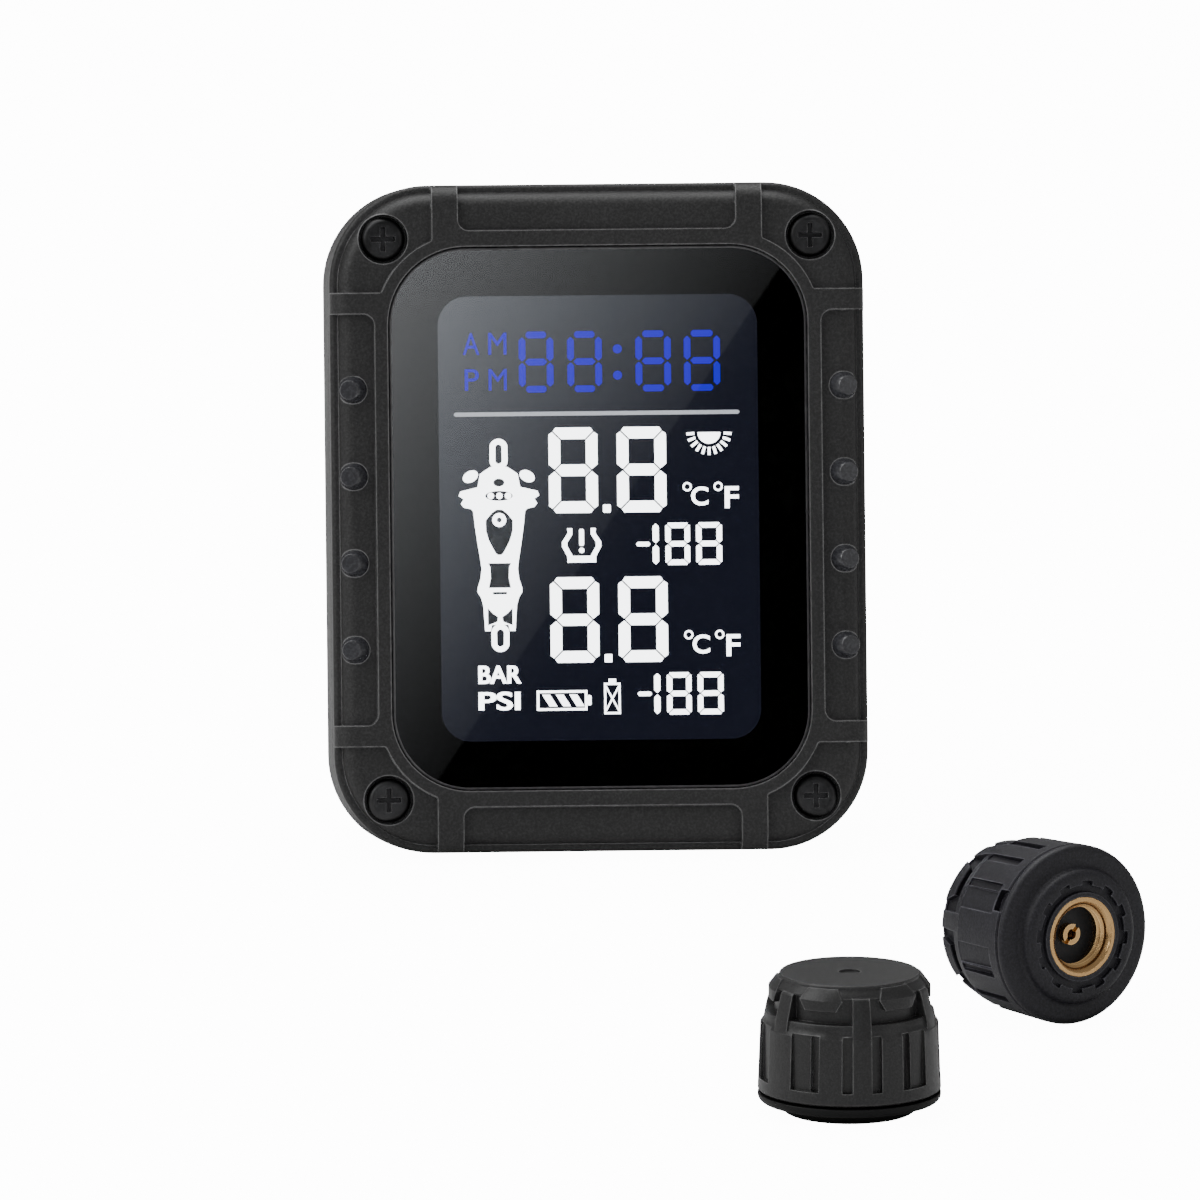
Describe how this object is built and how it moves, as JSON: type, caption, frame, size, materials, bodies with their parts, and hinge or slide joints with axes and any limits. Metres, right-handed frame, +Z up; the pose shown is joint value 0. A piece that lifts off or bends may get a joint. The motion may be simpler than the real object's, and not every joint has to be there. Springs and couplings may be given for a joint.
{
  "type": "tire pressure monitor",
  "caption": "Motorcycle tyre pressure monitor set: a leaning display with a flush glass screen, and round screw-on valve sensors with a brass thread.",
  "frame": {"origin": "middle of the display's sloped foot, on the table that the whole set stands on", "axes": "+Z up; -Y the way the screen faces, towards the sensors; +X to the right of a person who reads the screen"},
  "size_m": [0.0927, 0.1866, 0.0805],
  "materials": {
    "case_plastic": "fine-grained charcoal ABS",
    "sensor_plastic": "satin charcoal nylon",
    "sensor_base_plastic": "satin dark nylon",
    "lens_glass": "gloss, black printed border",
    "black_tape": "matt double-sided tape",
    "lcd_glass": "dark negative display glass",
    "white_plastic": "white light-guide plastic",
    "polyimide": "amber ribbon",
    "circuit_board": "green solder mask",
    "black_screw": "black oxide steel",
    "brass_parts": "turned brass",
    "seal_rubber": "moulded black rubber",
    "stud_silicone": "soft blue-grey silicone",
    "key_silicone": "soft grey silicone",
    "tinned_steel": "tinned steel",
    "spring_wire": "plated spring metal",
    "switch_plastic": "black moulding",
    "battery_wrap": "silver foil pouch",
    "foam": "grey sponge"
  },
  "bodies": {
    "display": {"front_bezel": "case_plastic", "back_cover": "case_plastic", "glass_lens": "lens_glass", "lens_adhesive": "black_tape", "lcd_panel": "lcd_glass", "lcd_backlight": "white_plastic", "lcd_holder": "white_plastic", "lcd_flex": "polyimide", "main_pcb": "circuit_board", "housing_screws": "black_screw", "screw_inserts": "brass_parts", "bracket_inserts": "brass_parts", "housing_seal": "seal_rubber", "left_grip_studs": "stud_silicone", "right_grip_studs": "stud_silicone", "usb_connector": "tinned_steel", "tact_switches": "switch_plastic", "battery_pack": "battery_wrap", "battery_foam": "foam", "mcu_chip": "switch_plastic", "radio_shield": "tinned_steel", "antenna_coil": "spring_wire", "buzzer": "switch_plastic"},
    "key_down": {"key_down": "key_silicone"},
    "key_set": {"key_set": "key_silicone"},
    "key_up": {"key_up": "key_silicone"},
    "usb_flap": {"usb_flap": "seal_rubber"},
    "sensor_a": {"sensor_a_base": "sensor_base_plastic", "sensor_a_valve_insert": "brass_parts", "sensor_a_valve_seat": "seal_rubber", "sensor_a_depressor_pin": "brass_parts", "sensor_a_cover_oring": "seal_rubber", "sensor_a_pcb": "circuit_board", "sensor_a_pressure_chip": "tinned_steel", "sensor_a_battery_clip": "spring_wire", "sensor_a_coin_cell": "tinned_steel"},
    "sensor_a_pad": {"sensor_a_cap_pad": "foam"},
    "sensor_a_cap": {"sensor_a_cover": "sensor_plastic"},
    "sensor_b": {"sensor_b_base": "sensor_base_plastic", "sensor_b_valve_insert": "brass_parts", "sensor_b_valve_seat": "seal_rubber", "sensor_b_depressor_pin": "brass_parts", "sensor_b_cover_oring": "seal_rubber", "sensor_b_pcb": "circuit_board", "sensor_b_pressure_chip": "tinned_steel", "sensor_b_battery_clip": "spring_wire", "sensor_b_coin_cell": "tinned_steel"},
    "sensor_b_pad": {"sensor_b_cap_pad": "foam"},
    "sensor_b_cap": {"sensor_b_cover": "sensor_plastic"}
  },
  "joints": [
    {"name": "key_down_press", "type": "slide", "parent": "display", "child": "key_down", "axis": [0, -0.9781, 0.2079], "range_m": [0, 0.0005], "stiffness_N_per_m": 600},
    {"name": "key_set_press", "type": "slide", "parent": "display", "child": "key_set", "axis": [0, -0.9781, 0.2079], "range_m": [0, 0.0005], "stiffness_N_per_m": 600},
    {"name": "key_up_press", "type": "slide", "parent": "display", "child": "key_up", "axis": [0, -0.9781, 0.2079], "range_m": [0, 0.0005], "stiffness_N_per_m": 600},
    {"name": "usb_flap_swing", "type": "hinge", "parent": "display", "child": "usb_flap", "pos_m": [0.0319, 0.00846, 0.03811], "axis": [0, 0.2079, 0.9781], "range_deg": [0, 100]},
    {"name": "sensor_a_lift", "type": "slide", "parent": "display", "child": "sensor_a", "axis": [0, 0, 1], "range_m": [0, 0.05]},
    {"name": "sensor_a_cap_rise", "type": "slide", "parent": "sensor_a", "child": "sensor_a_pad", "axis": [0, 0, 1], "range_m": [0, 0.003]},
    {"name": "sensor_a_cap_turn", "type": "hinge", "parent": "sensor_a_pad", "child": "sensor_a_cap", "pos_m": [0.0218, -0.1507, 0.008], "axis": [0, 0, 1], "range_deg": [0, 720]},
    {"name": "sensor_b_lift", "type": "slide", "parent": "display", "child": "sensor_b", "axis": [0, 0, 1], "range_m": [0, 0.05]},
    {"name": "sensor_b_cap_rise", "type": "slide", "parent": "sensor_b", "child": "sensor_b_pad", "axis": [-0.5443, 0.8381, -0.0375], "range_m": [0, 0.003]},
    {"name": "sensor_b_cap_turn", "type": "hinge", "parent": "sensor_b_pad", "child": "sensor_b_cap", "pos_m": [0.04705, -0.0992, 0.01051], "axis": [-0.5443, 0.8381, -0.0375], "range_deg": [0, 720]}
  ],
  "couplings": [
    {"joint": "sensor_a_cap_rise", "follows": "sensor_a_cap_turn", "m_per_rad": 0.00023873},
    {"joint": "sensor_b_cap_rise", "follows": "sensor_b_cap_turn", "m_per_rad": 0.00023873}
  ]
}
